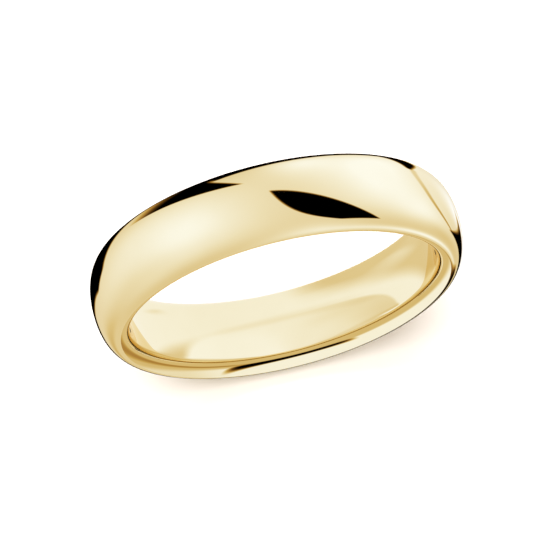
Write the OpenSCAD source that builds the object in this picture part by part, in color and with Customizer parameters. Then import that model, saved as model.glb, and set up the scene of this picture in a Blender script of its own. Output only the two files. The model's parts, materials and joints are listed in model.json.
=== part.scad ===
// Wedding band
//
// A plain domed ring with a comfort-fit finger hole, made from one seamless
// piece of gold. All of its form is in the cross-section, a smooth closed
// outline that turns faster or slower but never has a corner:
//
//   dome      flattest over the middle of the band, and tightening steadily
//             towards the rim
//   rim       the tightest turn, where the band is widest
//   comfort   the roll that opens out again into the finger hole
//   land      the straight middle of the hole, a true cylinder
//
// The origin is the centre of the finger hole. The axis of the ring lies along
// Y, so the ring stands on its edge, with +Z up.

/* [Fit] */
// Inside diameter at the land; 18.95 is a US size 9
bore_d = 18.95; // [14:0.05:23]

/* [Band] */
// Width of the band, along the finger
band_w = 5; // [4:0.1:6.5]
// Thickness of the metal at the middle of the band
wall_t = 1.925; // [1.6:0.025:2.2]

/* [Cross-section] */
// Radius of the comfort roll where it meets the land
comfort_r = 1.1; // [0.9:0.05:1.3]

/* [Hidden] */
// Facets of a full turn of the ring
$fn = 240;
// Degrees that the outline turns from one point to the next; 90 is a whole
// number of these steps
turn = 3;
// Degrees of turn over which the dome loses all but 1/e of its extra radius
ease = 19.5;

bore_r = bore_d / 2;
outer_r = bore_r + wall_t;
half_w = band_w / 2;

// A point of the outline is known by the direction that the surface faces
// there: 0 is straight out from the finger, 90 is along it, and 180 is back
// towards it. From 0 to 90 the radius of curvature is
//
//     rim_r + (dome_r - rim_r) * exp(-direction / ease)
//
// and from 90 to 180, with b = direction - 90, it is
//
//     rim_r + (comfort_r - rim_r) * sin(b)^2
//
// The functions below add up how far such a curve goes sideways, its run, and
// how far it comes down, its fall.
decay_rate = 180 / (PI * ease);
function decay(direction) = exp(-direction / ease);
function dome_run(direction) =
    (decay_rate + decay(direction) * (sin(direction) - decay_rate * cos(direction)))
    / (1 + decay_rate * decay_rate);
function dome_fall(direction) =
    (1 - decay(direction) * (cos(direction) + decay_rate * sin(direction)))
    / (1 + decay_rate * decay_rate);
function roll_run(b) = 2 / 3 - cos(b) + pow(cos(b), 3) / 3;
function roll_fall(b) = pow(sin(b), 3) / 3;

// The width and the wall fix the two radii that are left:
//
//     half_w = rim_r + extra_r * dome_run(90)
//     wall_t = rim_r + extra_r * dome_fall(90)
//              + rim_r + (comfort_r - rim_r) * roll_fall(90)
//
// where extra_r is dome_r - rim_r
wall_share = 2 - roll_fall(90);
wall_left = wall_t - comfort_r * roll_fall(90);
rim_r = (wall_left * dome_run(90) - half_w * dome_fall(90))
    / (wall_share * dome_run(90) - dome_fall(90));
extra_r = (half_w - rim_r) / dome_run(90);

// Points of the outline: x is the distance from the ring's axis, and y is
// along it
function outside(direction) = [
    outer_r - rim_r * (1 - cos(direction)) - extra_r * dome_fall(direction),
    rim_r * sin(direction) + extra_r * dome_run(direction)
];
function inside(b) = [
    outside(90).x - rim_r * sin(b) - (comfort_r - rim_r) * roll_fall(b),
    half_w - rim_r * (1 - cos(b)) - (comfort_r - rim_r) * roll_run(b)
];

// One side of the outline, from just past the middle of the dome to the land
side = [
    for (direction = [turn : turn : 90]) outside(direction),
    for (b = [turn : turn : 90]) inside(b)
];

// The whole cross-section, closed by the land
module cross_section() {
    polygon([
        outside(0),
        each side,
        for (i = [len(side) - 1 : -1 : 0]) [side[i].x, -side[i].y]
    ]);
}

// The ring, turned so that its axis lies along Y
module band() {
    color("palegoldenrod")
        rotate([90, 0, 0])
            rotate_extrude()
                cross_section();
}

band();
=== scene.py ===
# %% [markdown]
# # A plain wedding band
#
# The object is one seamless ring of polished yellow gold. There is nothing on
# it to look at but two things: its curve, and what the curve reflects. So
# this lesson has three parts. First the ring's surface is made from a rule
# about how fast its outline turns. Then the gold gets a mirror polish with the
# faint marks that a polishing wheel leaves. Last comes the tent of light
# around it, because a mirror shows its room and nothing else.

# %% Start from the engineering model
import json
import math

import bpy
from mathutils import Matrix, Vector


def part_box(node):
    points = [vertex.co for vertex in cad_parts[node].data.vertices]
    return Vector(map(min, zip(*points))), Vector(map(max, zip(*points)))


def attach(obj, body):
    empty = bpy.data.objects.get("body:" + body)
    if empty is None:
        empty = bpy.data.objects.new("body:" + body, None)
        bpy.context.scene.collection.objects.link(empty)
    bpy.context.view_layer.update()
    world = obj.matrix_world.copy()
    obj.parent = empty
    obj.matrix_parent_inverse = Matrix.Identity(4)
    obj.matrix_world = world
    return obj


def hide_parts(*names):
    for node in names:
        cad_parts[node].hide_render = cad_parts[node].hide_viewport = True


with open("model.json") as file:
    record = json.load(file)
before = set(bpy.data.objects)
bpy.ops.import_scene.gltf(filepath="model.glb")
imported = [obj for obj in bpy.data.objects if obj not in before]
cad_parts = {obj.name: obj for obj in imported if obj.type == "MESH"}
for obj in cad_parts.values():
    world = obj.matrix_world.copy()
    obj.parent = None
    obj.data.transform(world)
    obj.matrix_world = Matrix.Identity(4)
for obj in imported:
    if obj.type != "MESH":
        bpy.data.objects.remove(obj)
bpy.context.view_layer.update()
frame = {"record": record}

# %% [markdown]
# ## The sizes of the ring
#
# A jeweller orders a band by its ring size, its width and its thickness, and
# the engineering model holds all three. The hole's radius and the length of
# its straight middle, the land, are stated with the part. The width and the
# outside are read off its box.

# %% Read the ring's sizes
MM = 0.001
finger_hole = frame["record"]["mounts"][0]["dims"]
hole_radius = finger_hole["r_mm"] * MM
land_width = finger_hole["length_mm"] * MM
node_low, node_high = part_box("band")
outer_radius = (node_high.z - node_low.z) / 2
half_width = (node_high.y - node_low.y) / 2
wall = outer_radius - hole_radius
print(f"hole radius {hole_radius / MM:.3f} mm, wall {wall / MM:.3f} mm, width {2 * half_width / MM:.3f} mm")

# %% [markdown]
# ## The rule behind the outline
#
# Cut the ring across and look at the edge of the metal. The outline never has
# a corner, so it can be described by how tightly it bends at each direction
# that the surface faces. Facing straight out from the finger, on the dome, it
# is nearly flat. It tightens steadily to the rim, where it faces along the
# finger, and opens out again as it rolls into the hole.
#
# A mirror shows every break in that tightness as a kink in a reflection. That
# is why the outline isn't drawn from a few arcs, which would meet smoothly but
# change their bend at a stroke. It follows one curve that fades.
#
# Three radii drive the rule: at the middle of the dome, at the rim, and where
# the roll meets the land. They aren't free, because the outline has to end up
# with the right width, wall and land. Each of those three is a weighted sum
# of the three radii, so the radii come out of a little algebra.

# %% Work out the three radii of the rule
EASE = math.radians(19.5)  # turning this far fades the dome's extra radius to 1/e of itself

fade = 1 / EASE
left_at_rim = math.exp(-fade * math.pi / 2)
dome_run = (fade + left_at_rim) / (1 + fade * fade)  # sideways travel per unit of extra radius
dome_fall = (1 - left_at_rim * fade) / (1 + fade * fade)  # downwards travel per unit of it

# the roll into the hole: its fall is 2/3 rim + 1/3 comfort, its run 1/3 rim + 2/3 comfort
roll_run = half_width - land_width / 2
rim_radius = (
    (wall - roll_run / 2) * dome_run - half_width * dome_fall
) / (1.5 * dome_run - dome_fall)
comfort_radius = (3 * roll_run - rim_radius) / 2
dome_radius = rim_radius + (half_width - rim_radius) / dome_run
for name, radius in (("dome", dome_radius), ("rim", rim_radius), ("comfort roll", comfort_radius)):
    print(f"radius of the {name}: {radius / MM:.3f} mm")

# %% [markdown]
# ## Helpers for objects and node trees
#
# Geometry, materials and the light are all made of nodes here. A few small
# helpers keep the trees readable. The first makes a node and links what is
# given to its sockets, and the others make the maths nodes that are used most.
# A value can be a plain number or the output of another node. One more helper
# puts a new object in the scene.

# %% Helpers
def add_node(tree, kind, inputs=None, **settings):
    """Adds a node, sets its properties, and fills its inputs from numbers or outputs."""
    node = tree.nodes.new(kind)
    for name, value in settings.items():
        setattr(node, name, value)
    for key, value in (inputs or {}).items():
        socket = node.inputs[key]
        if isinstance(value, bpy.types.NodeSocket):
            tree.links.new(value, socket)
        else:
            socket.default_value = value
    return node


def calc(tree, operation, *values, clamp=False):
    """A maths node: calc(tree, "ADD", a, b) is a + b."""
    return add_node(
        tree, "ShaderNodeMath", dict(enumerate(values)), operation=operation, use_clamp=clamp
    ).outputs[0]


def vector_calc(tree, operation, *values, out="Vector"):
    """A vector maths node. A number goes to the Scale socket of a SCALE."""
    node = add_node(tree, "ShaderNodeVectorMath", operation=operation)
    sockets = [node.inputs[0], node.inputs["Scale"]] if operation == "SCALE" else node.inputs
    for socket, value in zip(sockets, values):
        if isinstance(value, bpy.types.NodeSocket):
            tree.links.new(value, socket)
        else:
            socket.default_value = value
    return node.outputs[out]


def combine(tree, x=0.0, y=0.0, z=0.0):
    """Three numbers or outputs as one vector."""
    return add_node(tree, "ShaderNodeCombineXYZ", {"X": x, "Y": y, "Z": z}).outputs[0]


def smooth_step(tree, value, low, high):
    """0 at low and 1 at high, with a smooth ramp between them; low may be the larger one."""
    return add_node(
        tree,
        "ShaderNodeMapRange",
        {"Value": value, "From Min": low, "From Max": high},
        interpolation_type="SMOOTHSTEP",
    ).outputs[0]


def add_object(name, data):
    """A new object in the scene, at the origin and unturned."""
    made = bpy.data.objects.new(name, data)
    bpy.context.scene.collection.objects.link(made)
    return made


print("helpers ready")

# %% [markdown]
# ## Walking the outline in Geometry Nodes
#
# The tree makes a flat grid and then moves its points. One side of the grid
# runs along the outline and the other runs round the finger. Along the
# outline every point asks two questions: which way does the surface face
# here, and how tightly does it bend? Their product is the length of one step.
# Accumulate Field adds up the steps, as a person would who paces the outline
# out, and the total is the point's place. The steps are finer over the flat
# dome, where a reflection is large and any unevenness would be seen.
#
# After the outline the walk goes straight back over the land to where it
# began. Turning each row to its own angle makes the ring, and merging the
# first row with the last closes it.

# %% Build the tree for the band
OUTLINE_STEPS = 144  # from one edge of the land, over the dome, to the other edge
LAND_STEPS = 16
STEPS_AROUND = 600
FIRST_STEP = 0.35  # share of the turning that is spread evenly; the rest crowds the dome
WELD = 2e-6  # points closer than this are one point, in metres

BAND_INPUTS = {
    "Hole Radius": hole_radius,
    "Land Width": land_width,
    "Dome Radius": dome_radius,
    "Rim Radius": rim_radius,
    "Comfort Radius": comfort_radius,
    "Ease": EASE,
}


def direction_at(tree, place):
    """The direction that the surface faces, in radians, at a place from -1 to 1 along the outline."""
    cubed = calc(tree, "POWER", calc(tree, "ABSOLUTE", place), 3.0)
    crowded = calc(tree, "MULTIPLY", cubed, 1 - FIRST_STEP)
    even = calc(tree, "MULTIPLY", calc(tree, "ABSOLUTE", place), FIRST_STEP)
    turned = calc(tree, "MULTIPLY", calc(tree, "ADD", even, crowded), math.pi)
    return calc(tree, "MULTIPLY", turned, calc(tree, "SIGN", place))


def bend_radius(tree, sizes, direction):
    """The rule of the outline: its radius of curvature where it faces a direction."""
    facing = calc(tree, "ABSOLUTE", direction)
    extra = calc(tree, "SUBTRACT", sizes["Dome Radius"], sizes["Rim Radius"])
    faded = calc(tree, "EXPONENT", calc(tree, "DIVIDE", calc(tree, "MULTIPLY", facing, -1.0), sizes["Ease"]))
    outside = calc(tree, "MULTIPLY_ADD", extra, faded, sizes["Rim Radius"])
    opening = calc(tree, "SUBTRACT", sizes["Comfort Radius"], sizes["Rim Radius"])
    cosine = calc(tree, "COSINE", facing)
    rolled = calc(tree, "MULTIPLY", cosine, cosine)  # the sine squared of the turn past the rim
    inside = calc(tree, "MULTIPLY_ADD", opening, rolled, sizes["Rim Radius"])
    past_rim = calc(tree, "GREATER_THAN", facing, math.pi / 2)
    return calc(
        tree,
        "ADD",
        calc(tree, "MULTIPLY", inside, past_rim),
        calc(tree, "MULTIPLY", outside, calc(tree, "SUBTRACT", 1.0, past_rim)),
    )


def build_band_tree():
    """A closed ring from the rule of its outline."""
    tree = bpy.data.node_groups.new("band from its outline", "GeometryNodeTree")
    tree.interface.new_socket("Geometry", in_out="OUTPUT", socket_type="NodeSocketGeometry")
    for name, size in BAND_INPUTS.items():
        socket = tree.interface.new_socket(name, in_out="INPUT", socket_type="NodeSocketFloat")
        socket.default_value = size
    tree.interface.new_socket("Gold", in_out="INPUT", socket_type="NodeSocketMaterial")
    sizes = tree.nodes.new("NodeGroupInput").outputs

    points_across = OUTLINE_STEPS + LAND_STEPS + 1
    grid = add_node(
        tree,
        "GeometryNodeMeshGrid",
        {"Vertices X": STEPS_AROUND + 1, "Vertices Y": points_across},
    )
    index = tree.nodes.new("GeometryNodeInputIndex").outputs[0]
    step = calc(tree, "MODULO", index, float(points_across))
    row = calc(tree, "FLOOR", calc(tree, "DIVIDE", calc(tree, "ADD", index, 0.5), float(points_across)))

    # the step that leaves this point: a turn, then a pace in the new direction
    here = calc(tree, "SUBTRACT", calc(tree, "MULTIPLY", step, 2 / OUTLINE_STEPS), 1.0)
    there = calc(tree, "ADD", here, 2 / OUTLINE_STEPS)
    start, end = direction_at(tree, here), direction_at(tree, there)
    turning = calc(tree, "SUBTRACT", end, start)
    facing = calc(tree, "MULTIPLY", calc(tree, "ADD", start, end), 0.5)
    pace = calc(tree, "MULTIPLY", bend_radius(tree, sizes, facing), turning)
    inwards = calc(tree, "MULTIPLY", calc(tree, "MULTIPLY", pace, calc(tree, "SINE", facing)), -1.0)
    sideways = calc(tree, "MULTIPLY", pace, calc(tree, "COSINE", facing))
    on_land = calc(tree, "GREATER_THAN", step, OUTLINE_STEPS - 0.5)
    land_pace = calc(tree, "MULTIPLY", sizes["Land Width"], -1 / LAND_STEPS)
    off_land = calc(tree, "SUBTRACT", 1.0, on_land)
    leg = combine(
        tree,
        calc(tree, "MULTIPLY", inwards, off_land),
        calc(
            tree,
            "ADD",
            calc(tree, "MULTIPLY", sideways, off_land),
            calc(tree, "MULTIPLY", land_pace, on_land),
        ),
    )
    walk = add_node(
        tree, "GeometryNodeAccumulateField", data_type="FLOAT_VECTOR", domain="POINT"
    )
    tree.links.new(leg, [s for s in walk.inputs if s.name == "Value" and s.enabled][0])
    tree.links.new(row, walk.inputs["Group ID"])
    walked = [s for s in walk.outputs if s.name == "Trailing" and s.enabled][0]
    travelled = add_node(tree, "ShaderNodeSeparateXYZ", {"Vector": walked}).outputs

    # the walk starts at the edge of the land on the side of -Y
    reach = calc(tree, "ADD", travelled["X"], sizes["Hole Radius"])
    along = calc(tree, "SUBTRACT", travelled["Y"], calc(tree, "MULTIPLY", sizes["Land Width"], 0.5))
    angle = calc(tree, "MULTIPLY", row, math.tau / STEPS_AROUND)
    place = combine(
        tree,
        calc(tree, "MULTIPLY", reach, calc(tree, "COSINE", angle)),
        along,
        calc(tree, "MULTIPLY", reach, calc(tree, "SINE", angle)),
    )
    shaped = add_node(
        tree, "GeometryNodeSetPosition", {"Geometry": grid.outputs["Mesh"], "Position": place}
    )
    welded = add_node(
        tree, "GeometryNodeMergeByDistance", {"Geometry": shaped.outputs[0], "Distance": WELD}
    )
    smooth = add_node(tree, "GeometryNodeSetShadeSmooth", {"Geometry": welded.outputs[0]})
    real = add_node(tree, "GeometryNodeRealizeInstances", {"Geometry": smooth.outputs[0]})
    gold = add_node(
        tree, "GeometryNodeSetMaterial", {"Geometry": real.outputs[0], "Material": sizes["Gold"]}
    )
    output = tree.nodes.new("NodeGroupOutput")
    tree.links.new(gold.outputs[0], output.inputs[0])
    return tree


band_tree = build_band_tree()
print("the band's tree has", len(band_tree.nodes), "nodes")

# %% [markdown]
# ## The gold
#
# Yellow gold is a metal, so all of its colour is in its
# reflections: a white card comes back pale yellow. Its polish is a mirror's,
# but not a perfect one. The wheel leaves lines that run round the ring, far
# finer than a hair, and the hand that holds the ring to the wheel leaves it
# very slightly wavy. Both are drawn by noise. The noise for the lines reads a
# place on the ring as two things: where it is around the finger, which it
# follows slowly, and where it is across the band, which it follows fast. That
# stretches every mark into a line. The alloy isn't perfectly even either, so
# the colour drifts a little.

# %% Make the polished gold
GOLD_LIGHT = (0.90, 0.77, 0.48, 1.0)
GOLD_DEEP = (0.87, 0.73, 0.43, 1.0)
MIRROR_ROUGHNESS = (0.012, 0.045)  # on the cleanest metal, and on the most worn
LINES_PER_METRE = 9000.0
LINE_STRETCH = 2.5
WAVES_PER_METRE = 260.0
DRIFTS_PER_METRE = 150.0
LINE_DEPTH = 2.0e-8
WAVE_DEPTH = 6.0e-7
SPECULAR_TINT = (1.0, 0.97, 0.90, 1.0)


def noise(tree, vector, scale, detail=3.0, w=None):
    """Smooth noise between 0 and 1, in three dimensions or, with w, in four."""
    inputs = {"Vector": vector, "Scale": scale, "Detail": detail}
    if w is not None:
        inputs["W"] = w
    return add_node(
        tree, "ShaderNodeTexNoise", inputs, noise_dimensions="3D" if w is None else "4D"
    ).outputs[0]


def spread(tree, value, low, high, from_low=0.3, from_high=0.7):
    """Stretches noise, which keeps to its middle, over a range."""
    return add_node(
        tree,
        "ShaderNodeMapRange",
        {"Value": value, "From Min": from_low, "From Max": from_high, "To Min": low, "To Max": high},
    ).outputs[0]


def make_gold():
    """Polished gold with fine lines, slow waves and a slight drift of colour."""
    material = bpy.data.materials.new("polished yellow gold")
    material.use_nodes = True
    tree = material.node_tree
    shader = tree.nodes["Principled BSDF"]
    place = tree.nodes.new("ShaderNodeTexCoord").outputs["Object"]

    # where a point is around the ring, and how far out and across it is
    part = add_node(tree, "ShaderNodeSeparateXYZ", {"Vector": place}).outputs
    reach = vector_calc(tree, "LENGTH", combine(tree, part["X"], 0.0, part["Z"]), out="Value")
    around = vector_calc(tree, "NORMALIZE", combine(tree, part["X"], 0.0, part["Z"]))
    around_slow = vector_calc(tree, "SCALE", around, LINE_STRETCH)
    across_fast = combine(tree, 0.0, calc(tree, "MULTIPLY", part["Y"], LINES_PER_METRE), 0.0)
    line_place = vector_calc(tree, "ADD", around_slow, across_fast)
    lines = noise(tree, line_place, 1.0, w=calc(tree, "MULTIPLY", reach, LINES_PER_METRE))
    waves = noise(tree, place, WAVES_PER_METRE, detail=1.0)
    drift = noise(tree, place, DRIFTS_PER_METRE)

    colour = add_node(
        tree,
        "ShaderNodeMix",
        {"Factor": spread(tree, drift, 0.0, 1.0)},
        data_type="RGBA",
        clamp_factor=True,
    )
    colour.inputs[6].default_value = GOLD_LIGHT
    colour.inputs[7].default_value = GOLD_DEEP
    tree.links.new(colour.outputs[2], shader.inputs["Base Color"])

    # the lines scatter a little light, and more where the polish is tired
    tired = calc(tree, "MULTIPLY", spread(tree, lines, 0.0, 1.0), spread(tree, drift, 0.4, 1.0))
    roughness = spread(tree, tired, *MIRROR_ROUGHNESS, from_low=0.0, from_high=1.0)
    tree.links.new(roughness, shader.inputs["Roughness"])

    waviness = add_node(
        tree, "ShaderNodeBump", {"Strength": 1.0, "Distance": WAVE_DEPTH, "Height": waves}
    )
    polish = add_node(
        tree,
        "ShaderNodeBump",
        {"Strength": 1.0, "Distance": LINE_DEPTH, "Height": lines, "Normal": waviness.outputs[0]},
    )
    tree.links.new(polish.outputs[0], shader.inputs["Normal"])
    shader.inputs["Metallic"].default_value = 1.0
    shader.inputs["Specular Tint"].default_value = SPECULAR_TINT
    return material


gold = make_gold()
print("gold has", len(gold.node_tree.nodes), "nodes")

# %% [markdown]
# ## The finished ring
#
# The modifier's inputs are set by each socket's identifier, before the object
# is first evaluated. Then the evaluated ring is copied into a plain mesh and
# the modifier goes, so that what is left is only metal. The faces have to
# point outwards, which a volume test settles: a mesh that is inside out
# encloses a negative volume.

# %% Make the band and put it in the frame
def signed_volume(mesh):
    """The volume that a closed mesh encloses, below zero if it is inside out."""
    mesh.calc_loop_triangles()
    corner = [v.co for v in mesh.vertices]
    total = 0.0
    for triangle in mesh.loop_triangles:
        a, b, c = (corner[i] for i in triangle.vertices)
        total += a.dot(b.cross(c))
    return total / 6


def make_band():
    """The band as a plain mesh, made by the tree and facing outwards."""
    maker = add_object("band_maker", bpy.data.meshes.new("empty"))
    modifier = maker.modifiers.new("outline", "NODES")
    modifier.node_group = band_tree
    for item in band_tree.interface.items_tree:
        if item.in_out == "INPUT":
            modifier[item.identifier] = gold if item.name == "Gold" else BAND_INPUTS[item.name]
    bpy.context.view_layer.update()
    evaluated = maker.evaluated_get(bpy.context.evaluated_depsgraph_get())
    mesh = bpy.data.meshes.new_from_object(evaluated)
    bpy.data.objects.remove(maker)
    if signed_volume(mesh) < 0:
        mesh.flip_normals()
    return add_object("gold_band", mesh)


band = make_band()
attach(band, "root")
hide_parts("band")
band_triangles = sum(len(p.vertices) - 2 for p in band.data.polygons)
print(f"the band has {band_triangles} triangles and holds {signed_volume(band.data) / MM**3:.1f} mm3")

# %% [markdown]
# ## The table
#
# The ring stands on its edge on a plain white sheet. The sheet is hidden from
# reflections: in a product picture the metal shows the light tent alone. What
# the sheet does is take the ring's soft shadow, which is what stops the ring
# from floating.

# %% Lay the white sheet
SHEET_SIZE = 4.0
SHEET_COLOUR = (0.88, 0.88, 0.88, 1.0)
FIBRES_PER_METRE = 900.0


def make_sheet():
    """A square of white paper at the height of the lowest metal."""
    mesh = bpy.data.meshes.new("white sheet")
    half = SHEET_SIZE / 2
    height = -outer_radius
    corners = [(-half, -half, height), (half, -half, height), (half, half, height), (-half, half, height)]
    mesh.from_pydata(corners, [], [(0, 1, 2, 3)])
    material = bpy.data.materials.new("white paper")
    material.use_nodes = True
    tree = material.node_tree
    shader = tree.nodes["Principled BSDF"]
    place = tree.nodes.new("ShaderNodeTexCoord").outputs["Object"]
    fibre = noise(tree, place, FIBRES_PER_METRE)
    shader.inputs["Base Color"].default_value = SHEET_COLOUR
    shader.inputs["Specular IOR Level"].default_value = 0.0
    tree.links.new(spread(tree, fibre, 0.85, 1.0), shader.inputs["Roughness"])
    mesh.materials.append(material)
    return add_object("white_sheet", mesh)


sheet = make_sheet()
sheet.visible_glossy = False
print("sheet at height", sheet.data.vertices[0].co.z)

# %% [markdown]
# ## The light tent
#
# A polished ring is often shown inside a tent of white cloth, with a few
# black cards, called flags, that draw dark shapes on the metal and so show
# its form. Here the whole tent is the world around the scene. That way it is
# the same for every camera, and nothing stands in front of the ring.
#
# This is staged light, and far from plain: a plain tent would leave the ring
# pale all over. It belongs to the scene and not to the ring, which keeps its
# shape and its gold in any other light.
#
# Places on the tent are given on a flat map of the sky, in degrees: straight
# up is (0, 0), each point lies as many degrees from the middle as it is from
# straight up, and it lies in its own compass direction. The horizon is the
# circle of radius 90, and what is outside that is below the ring.

# %% Draw the map of the sky
world = bpy.data.worlds.new("light tent")
world.use_nodes = True
bpy.context.scene.world = world
tent = world.node_tree
tent.nodes.clear()


def make_sky_map():
    """The place on the sky map that a ray goes to, as a vector in degrees."""
    ray = add_node(tent, "ShaderNodeTexCoord").outputs["Generated"]
    ray = vector_calc(tent, "NORMALIZE", ray)
    part = add_node(tent, "ShaderNodeSeparateXYZ", {"Vector": ray}).outputs
    from_top = calc(tent, "DEGREES", calc(tent, "ARCCOSINE", part["Z"]))
    compass = vector_calc(tent, "NORMALIZE", combine(tent, part["X"], part["Y"], 0.0))
    return vector_calc(tent, "SCALE", compass, from_top)


sky = make_sky_map()


def inside_disc(centre, radius, soft):
    """1 inside a circle on the sky map, 0 outside it."""
    away = vector_calc(tent, "DISTANCE", sky, (*centre, 0.0), out="Value")
    return smooth_step(tent, away, radius + soft / 2, radius - soft / 2)


def beyond_line(start, end, soft):
    """1 to the left of a line on the sky map, going from start to end."""
    run, rise = end[0] - start[0], end[1] - start[1]
    length = math.hypot(run, rise)
    normal = (-rise / length, run / length, 0.0)
    side = vector_calc(tent, "DOT_PRODUCT", sky, normal, out="Value")
    edge = normal[0] * start[0] + normal[1] * start[1]
    return smooth_step(tent, side, edge - soft / 2, edge + soft / 2)


def both(*parts):
    """1 where all of the parts are."""
    total = parts[0]
    for part in parts[1:]:
        total = calc(tent, "MULTIPLY", total, part)
    return total


def without(part):
    """1 where the part isn't."""
    return calc(tent, "SUBTRACT", 1.0, part)


print("the sky map has", len(tent.nodes), "nodes")

# %% [markdown]
# ## The cloth of the tent
#
# The cloth isn't equally bright all over. Lamps behind it make broad bright
# patches, which fade into each other. Each patch is a soft bell on the sky
# map, and they add up to the tone of the cloth.
#
# The tone of the cloth and the first nine patches weren't placed by hand: a
# least-squares fit found them, and they are rounded here. The last two
# patches were added. The two circles of the leaf, among the flags below,
# came from a fit as well. To light the ring afresh, start by emptying this
# list.

# %% Light the cloth
CLOTH_TONE = 0.79
PATCHES = [
    # (place on the map, reach along x, reach along y, tone it adds)
    ((-78.0, 8.0), 71.0, 67.0, 0.24),
    ((63.0, 56.0), 36.0, 66.0, 0.21),
    ((24.0, -92.0), 25.0, 42.0, 0.115),
    ((81.0, -107.0), 38.0, 23.0, 0.185),
    ((21.0, 74.0), 19.0, 34.0, 0.11),
    ((105.0, 5.0), 31.0, 40.0, 0.145),
    ((-91.0, -4.0), 38.0, 43.0, -0.12),
    ((-171.0, -55.0), 47.0, 109.0, -0.15),
    ((127.0, 99.0), 25.0, 40.0, 0.24),
    ((120.0, -30.0), 16.0, 30.0, -0.05),
    ((-52.0, 16.0), 24.0, 20.0, 0.03),
]


def patch(centre, reach_x, reach_y, added):
    """A soft bell on the cloth, brighter or dimmer than the rest."""
    away = vector_calc(tent, "SUBTRACT", sky, (*centre, 0.0))
    scaled = vector_calc(tent, "DIVIDE", away, (reach_x, reach_y, 1.0))
    far = vector_calc(tent, "LENGTH", scaled, out="Value")
    bell = calc(tent, "EXPONENT", calc(tent, "MULTIPLY", calc(tent, "MULTIPLY", far, far), -1.0))
    return calc(tent, "MULTIPLY", bell, added)


tone = CLOTH_TONE
for described in PATCHES:
    tone = calc(tent, "ADD", tone, patch(*described))
print(len(PATCHES), "soft patches on the cloth")

# %% [markdown]
# ## The flags
#
# A flag is a piece of black card or cloth. On a curved mirror its straight
# edges come back bowed, so a simple card can draw a leaf or a fin on the
# metal. Hanging real cards as flat meshes would do it too, but they would
# also shade the sheet and get in front of other cameras.
#
# Here every flag is a shape on the map of the sky, cut out of a few circles
# and straight lines: inside this circle, not inside that one, and beyond
# this line. Each edge has a width in degrees over which it fades, as the
# edge of a card does when it is a little out of focus. Every shape has to be
# closed on all sides, because an open one would run on round the sky and
# come back on another part of the ring.

# %% Hang the flags
def ring_strip(centre, radius, width, soft):
    """1 on a strip that follows a circle on the sky map."""
    outer_edge = inside_disc(centre, radius + width / 2, soft)
    return both(outer_edge, without(inside_disc(centre, radius - width / 2, soft)))


# the leaf over the top of the dome: two circles that cross, cut off below
leaf = both(
    inside_disc((163.4, 67.9), 166.6, 2.0),
    inside_disc((-24.2, -58.2), 89.2, 2.0),
    beyond_line((36.0, -43.0), (62.0, -45.0), 4.0),
)

# the fin behind the ring: hollow on its right, fading away on its upper left
fin = both(
    inside_disc((28.3, 161.4), 118.7, 2.5),
    without(inside_disc((43.0, 82.0), 63.5, 2.5)),
    without(beyond_line((-64.0, 86.0), (-24.0, 128.0), 22.0)),
    beyond_line((0.0, 100.0), (0.0, 120.0), 4.0),
)

# the low edge of the tent behind the ring
hem = both(
    beyond_line((-15.0, 91.0), (50.0, 109.0), 5.0),
    beyond_line((77.0, 107.0), (56.0, 134.0), 5.0),
    beyond_line((-18.0, 130.0), (-18.0, 110.0), 6.0),
)

# the tall card to the left, which runs on behind the ring
left_card = both(
    without(inside_disc((49.5, -61.6), 207.2, 4.0)),
    inside_disc((-30.0, 62.0), 88.0, 3.0),
    beyond_line((-150.0, 75.0), (-50.0, 75.0), 5.0),
)
left_hem = both(
    without(inside_disc((49.5, -61.6), 207.2, 4.0)),
    beyond_line((-80.0, 130.0), (-40.0, 130.0), 6.0),
    beyond_line((0.0, 100.0), (0.0, 120.0), 4.0),
)

# the bowed strip behind to the right, and the narrow card beyond it
bow = both(
    inside_disc((20.6, 75.6), 65.5, 3.0),
    without(inside_disc((-34.7, 12.5), 134.7, 3.0)),
    beyond_line((30.0, 77.0), (90.0, 77.0), 4.0),
)
side_card = both(
    without(inside_disc((50.0, 35.0), 84.0, 4.0)),
    beyond_line((100.0, 9.0), (150.0, 9.0), 5.0),
    beyond_line((150.0, 88.0), (100.0, 88.0), 20.0),
    beyond_line((100.0, 88.0), (100.0, 9.0), 5.0),
)

# the dark far corner, low in front, that outlines the near edge
corner = both(
    without(inside_disc((0.0, 0.0), 157.0, 5.0)),
    beyond_line((45.0, -100.0), (45.0, -160.0), 20.0),
    beyond_line((170.0, -60.0), (100.0, -60.0), 30.0),
)

flags = [leaf, fin, hem, left_card, left_hem, bow, side_card, corner]
for flag in flags:
    tone = calc(tent, "MULTIPLY", tone, without(flag))

# a seam in the cloth runs on from the bowed strip; it only dims the light, most at its end
seam = both(
    ring_strip((201.9, 112.0), 119.5, 4.0, 3.0),
    beyond_line((150.0, 80.0), (60.0, 80.0), 6.0),
    beyond_line((100.0, 12.0), (150.0, 12.0), 8.0),
)
deepest = beyond_line((150.0, 38.0), (60.0, 38.0), 50.0)
depth = calc(tent, "MULTIPLY_ADD", deepest, 0.27, 0.13)
tone = calc(tent, "MULTIPLY", tone, without(calc(tent, "MULTIPLY", seam, depth)))
print(len(flags), "flags and a seam")

# %% [markdown]
# ## From tone to light
#
# A picture of gold is pale where it is bright and deep where it is dark, as
# the lining of the tent is white by the lamps and warm in the folds. So a
# ramp turns each tone into the colour that the metal should show, and that
# is divided by the gold's own colour to give the light. The colours in the
# ramp were measured and then rounded.
#
# Mind what the division does: another gold would look the same in this tent,
# because the light would change to suit it. Judge the gold in white light.

# %% Colour the light
def linear(shown):
    """Linear light from a number as a screen shows it."""
    return shown / 12.92 if shown <= 0.04045 else ((shown + 0.055) / 1.055) ** 2.4


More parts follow.
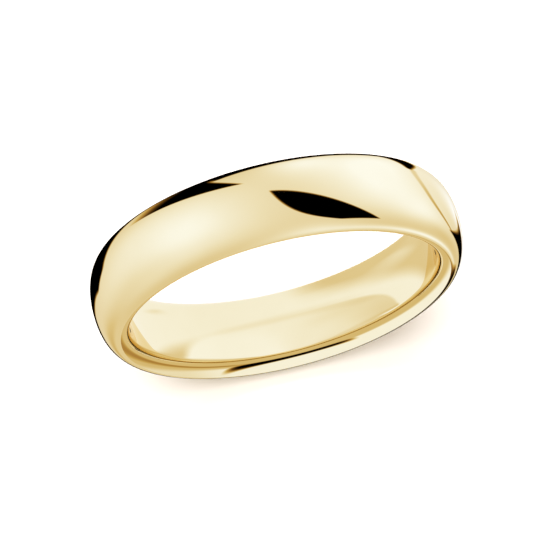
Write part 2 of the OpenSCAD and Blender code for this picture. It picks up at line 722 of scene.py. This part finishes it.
METAL_SHOWS = [
    # (tone, the colour that the metal shows on a screen)
    (0.00, (0.00, 0.00, 0.00)),
    (0.25, (0.38, 0.25, 0.08)),
    (0.48, (0.66, 0.48, 0.21)),
    (0.64, (0.79, 0.64, 0.32)),
    (0.76, (0.865, 0.76, 0.50)),
    (0.83, (0.905, 0.83, 0.63)),
    (0.88, (0.935, 0.88, 0.715)),
    (0.94, (0.97, 0.94, 0.83)),
    (0.99, (1.00, 0.99, 0.925)),
]
BEHIND_COLOUR = (1.0, 1.0, 1.0, 1.0)
FILL_COLOUR = (1.0, 0.72, 0.48, 1.0)
FILL_STRENGTH = 0.5


def metal_ramp(tree, value):
    """The light that makes the metal show the colour that belongs to a tone."""
    node = add_node(tree, "ShaderNodeValToRGB", {"Fac": value})
    ramp = node.color_ramp
    while len(ramp.elements) < len(METAL_SHOWS):
        ramp.elements.new(1.0)
    for element, (position, _) in zip(ramp.elements, METAL_SHOWS):
        element.position = position
    for element, (_, shown) in zip(ramp.elements, METAL_SHOWS):
        light = [linear(part) / own for part, own in zip(shown, GOLD_LIGHT)]
        element.color = (*light, 1.0)
    return node.outputs[0]


def colour_tent():
    """Colours the tent as reflections see it, as dull surfaces do and as the camera does."""
    shown = metal_ramp(tent, tone)
    seen_by = add_node(tent, "ShaderNodeLightPath").outputs
    studio = add_node(tent, "ShaderNodeBackground", {"Color": shown, "Strength": 1.0})
    fill = add_node(tent, "ShaderNodeBackground", {"Color": FILL_COLOUR, "Strength": FILL_STRENGTH})
    behind = add_node(tent, "ShaderNodeBackground", {"Color": BEHIND_COLOUR, "Strength": 1.0})
    lit = add_node(
        tent,
        "ShaderNodeMixShader",
        {0: seen_by["Is Diffuse Ray"], 1: studio.outputs[0], 2: fill.outputs[0]},
    )
    backed = add_node(
        tent,
        "ShaderNodeMixShader",
        {0: seen_by["Is Camera Ray"], 1: lit.outputs[0], 2: behind.outputs[0]},
    )
    add_node(tent, "ShaderNodeOutputWorld", {"Surface": backed.outputs[0]})


colour_tent()
bpy.context.scene.view_settings.view_transform = "Standard"
print("the tent has", len(tent.nodes), "nodes")

# %% [markdown]
# ## Two small cards for the inside
#
# The inside of a ring is a mirror too, and it looks out through the ring's
# own two mouths. What it should show isn't what the dome shows: white on the
# left, warm on the right, and one dark line along the near edge. So each
# mouth gets a card of its own, which the camera doesn't see. A card that lies
# in the plane of a mouth can be seen by nothing but the inside of the ring,
# so it leaves the dome's reflections alone.

# %% Paint the cards
def make_card_material(name, paint):
    """A glowing card whose tone is painted over its X and Z in millimetres."""
    material = bpy.data.materials.new(name)
    material.use_nodes = True
    tree = material.node_tree
    tree.nodes.clear()
    place = tree.nodes.new("ShaderNodeTexCoord").outputs["Object"]
    in_mm = vector_calc(tree, "SCALE", place, 1 / MM)
    part = add_node(tree, "ShaderNodeSeparateXYZ", {"Vector": in_mm}).outputs
    shown = metal_ramp(tree, paint(tree, part["X"], part["Z"]))
    glow = add_node(tree, "ShaderNodeEmission", {"Color": shown, "Strength": 1.0})
    add_node(tree, "ShaderNodeOutputMaterial", {"Surface": glow.outputs[0]})
    return material


def from_spot(tree, x, z, centre, stretch=(1.0, 1.0)):
    """How far a place on a card is from a spot, in stretched millimetres."""
    away = combine(
        tree,
        calc(tree, "DIVIDE", calc(tree, "SUBTRACT", x, centre[0]), stretch[0]),
        calc(tree, "DIVIDE", calc(tree, "SUBTRACT", z, centre[1]), stretch[1]),
    )
    return vector_calc(tree, "LENGTH", away, out="Value")


def mix_tones(tree, factor, first, second):
    """The first tone where the factor is 0 and the second where it is 1."""
    return add_node(
        tree, "ShaderNodeMapRange", {"Value": factor, "To Min": first, "To Max": second}
    ).outputs[0]


def dim(tree, tone_here, factor, by):
    """A tone made darker by an amount where the factor is 1."""
    return calc(tree, "MULTIPLY_ADD", factor, -by, tone_here)


# places on the cards, in millimetres from the middle of the mouth
LEFT_ARC = (-3.97, -1.0)
RIGHT_ARC = (4.03, -0.47)
MEETING_POINT = (0.1, -4.8)
ROLL_CENTRE = (-0.44, 1.46)
BROWN_RADIUS = 9.95
DARK_LINE = (0.2, -8.72)
DARK_LINE_REACH = (3.8, 0.45)
DARK_LINE_SLOPE = 0.09


def paint_back(tree, x, z):
    """The card that the land sees: its glow is painted as if lit from opposite sides above and below."""
    below = mix_tones(tree, smooth_step(tree, x, 0.6, 3.6), 0.945, 0.785)

    above = mix_tones(tree, smooth_step(tree, x, 1.8, -0.5), 0.96, 0.92)
    low_down = smooth_step(tree, z, -1.0, -5.5)
    low_left = calc(tree, "MULTIPLY", low_down, smooth_step(tree, x, 0.6, -1.0))
    point = smooth_step(tree, from_spot(tree, x, z, MEETING_POINT), 1.3, 0.2)
    above = dim(tree, above, low_left, 0.07)
    above = dim(tree, above, smooth_step(tree, x, -1.0, -3.0), 0.02)
    above = dim(tree, above, smooth_step(tree, x, -3.0, -4.4), 0.06)
    above = dim(tree, above, point, 0.05)
    above = mix_tones(tree, smooth_step(tree, x, 5.0, 6.5), above, 0.82)

    # what splits them is two arcs that meet in a point, low in the middle
    in_left = smooth_step(tree, from_spot(tree, x, z, LEFT_ARC), 6.0, 5.5)
    in_right = smooth_step(tree, from_spot(tree, x, z, RIGHT_ARC), 6.3, 5.0)
    split = calc(tree, "MAXIMUM", in_left, in_right)
    split = calc(tree, "MAXIMUM", split, smooth_step(tree, z, -5.0, -3.5))
    far_left = smooth_step(tree, x, -4.4, -5.4)
    left_tip = calc(tree, "MULTIPLY", far_left, smooth_step(tree, z, -3.0, -4.5))
    split = calc(tree, "MULTIPLY", split, calc(tree, "SUBTRACT", 1.0, left_tip))
    return mix_tones(tree, split, below, above)


def paint_front(tree, x, z):
    """Warm in the middle, a dark line low down, and white at the mouth's edge."""
    from_middle = from_spot(tree, x, z, ROLL_CENTRE)
    off_ring = calc(tree, "ABSOLUTE", calc(tree, "SUBTRACT", from_middle, BROWN_RADIUS))
    near_ring = smooth_step(tree, off_ring, 0.35, 0.05)
    brown = calc(tree, "MULTIPLY", near_ring, smooth_step(tree, x, -1.0, -3.0))
    warm = calc(tree, "MULTIPLY_ADD", brown, -0.22, 0.72)
    edge = mix_tones(tree, smooth_step(tree, x, -6.5, -3.0), 0.87, 0.95)
    tone_here = mix_tones(tree, smooth_step(tree, from_middle, 10.35, 10.75), warm, edge)
    tilted = calc(tree, "MULTIPLY_ADD", x, -DARK_LINE_SLOPE, z)
    line = smooth_step(tree, from_spot(tree, x, tilted, DARK_LINE, DARK_LINE_REACH), 1.15, 0.75)
    return calc(tree, "MULTIPLY", tone_here, calc(tree, "SUBTRACT", 1.0, line))


print("the cards are painted by position, in millimetres")

# %% Set the cards
mouth_radius = hole_radius + (2 * rim_radius + comfort_radius) / 3
CARD_CORNERS = 96


def make_card(name, y, paint):
    """A round card that just fills a mouth of the ring."""
    turns = [math.tau * i / CARD_CORNERS for i in range(CARD_CORNERS)]
    rim = [(mouth_radius * math.cos(a), y, mouth_radius * math.sin(a)) for a in turns]
    mesh = bpy.data.meshes.new(name)
    mesh.from_pydata(rim, [], [tuple(range(CARD_CORNERS))])
    mesh.materials.append(make_card_material(name, paint))
    card = add_object(name, mesh)
    card.visible_camera = False
    card.visible_diffuse = False
    card.visible_shadow = False


make_card("front_card", -half_width, paint_front)
make_card("back_card", half_width, paint_back)
print(f"cards of radius {mouth_radius / MM:.2f} mm in the mouths")

# %% [markdown]
# ## The lamp over the sheet
#
# One broad soft lamp, above and a little to the left, makes the ring's
# shadow. It is hidden from reflections, because the tent already gives the
# metal its light.

# %% Hang the lamp
LAMP_STRENGTH = 4.8
LAMP_SPREAD = math.radians(75)
LAMP_TILT = math.radians(10)


def make_lamp():
    """A sun so broad that its shadows have no edge."""
    data = bpy.data.lights.new("soft lamp", "SUN")
    data.energy = LAMP_STRENGTH
    data.angle = LAMP_SPREAD
    lamp = add_object("soft_lamp", data)
    lamp.rotation_euler = (0.0, -LAMP_TILT, 0.0)
    lamp.visible_glossy = False
    return lamp


lamp = make_lamp()
print("lamp of strength", lamp.data.energy)

# %% [markdown]
# ## The camera
#
# The ring is seen from high in front, a little to the left, through a long
# lens that keeps its far side almost as large as its near side. The camera
# is pulled slightly off the ring's centre to place it in the picture.

# %% Place the camera
CAMERA_AZIMUTH = math.radians(-13.2)
CAMERA_ELEVATION = math.radians(67.3)
CAMERA_DISTANCE = hole_radius / 0.0235
CAMERA_ASIDE = -0.0658 * hole_radius
CAMERA_RAISED = 0.0108 * hole_radius
SENSOR_WIDTH = 36.0
PICTURE_WIDTH = 32.12 * MM  # what the picture spans at the ring


def make_camera():
    """The camera, aimed at the ring and then slid aside without turning."""
    data = bpy.data.cameras.new("long lens")
    data.sensor_width = SENSOR_WIDTH
    data.lens = SENSOR_WIDTH * CAMERA_DISTANCE / PICTURE_WIDTH
    data.clip_start = 0.01
    data.clip_end = 10.0
    camera = add_object("long_lens", data)
    away = Vector(
        (
            math.sin(CAMERA_AZIMUTH) * math.cos(CAMERA_ELEVATION),
            -math.cos(CAMERA_AZIMUTH) * math.cos(CAMERA_ELEVATION),
            math.sin(CAMERA_ELEVATION),
        )
    )
    right = Vector((math.cos(CAMERA_AZIMUTH), math.sin(CAMERA_AZIMUTH), 0.0))
    above = away.cross(right)
    camera.location = away * CAMERA_DISTANCE + right * CAMERA_ASIDE + above * CAMERA_RAISED
    camera.rotation_euler = away.to_track_quat("Z", "Y").to_euler()
    bpy.context.scene.camera = camera
    return camera


camera = make_camera()
print(f"camera at {CAMERA_DISTANCE:.3f} m with a {camera.data.lens:.0f} mm lens")
